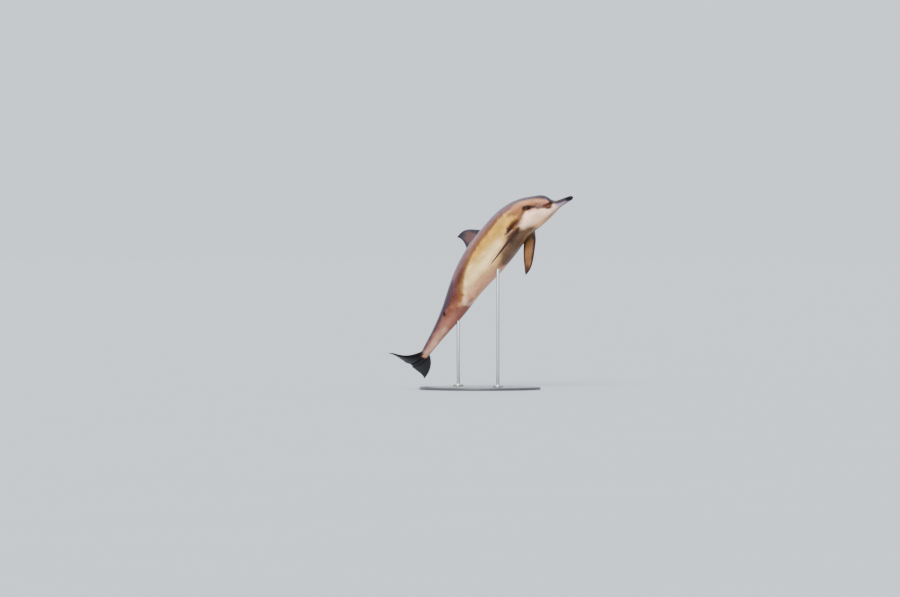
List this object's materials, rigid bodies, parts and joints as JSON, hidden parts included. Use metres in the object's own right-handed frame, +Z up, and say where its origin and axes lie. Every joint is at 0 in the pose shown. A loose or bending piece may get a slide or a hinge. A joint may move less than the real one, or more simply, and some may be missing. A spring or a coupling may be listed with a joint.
{
  "type": "spinner dolphin display model",
  "caption": "Life-size spinner dolphin in a steep leap, long slim beak raised and belly turned forward, held over a flat round base by upright rods.",
  "frame": {"origin": "centre of the underside of the round base, on the floor", "axes": "+Z up. The animal leaps towards +X and rises, with its head also turned towards -Y. -Y is the side it is seen from"},
  "size_m": [1.2128, 1.1855, 1.2804],
  "materials": {
    "skin": "smooth wet dolphin skin: dark back, tan side band, pinkish belly",
    "eye": "wet, near-black",
    "stand_plate": "dark satin paint",
    "stand_steel": "fine brushed"
  },
  "bodies": {
    "root": {"beak_upper": "skin", "beak_lower": "skin", "head": "skin", "neck": "skin", "chest": "skin", "midbody": "skin", "hindbody": "skin", "tail_stock": "skin", "dorsal_fin": "skin", "fluke_left": "skin", "fluke_right": "skin", "flipper_left": "skin", "flipper_right": "skin", "eye_left": "eye", "eye_right": "eye", "stand_base": "stand_plate", "stand_collar_front": "stand_steel", "stand_collar_rear": "stand_steel", "stand_rod_front": "stand_steel", "stand_rod_rear": "stand_steel"}
  },
  "joints": []
}
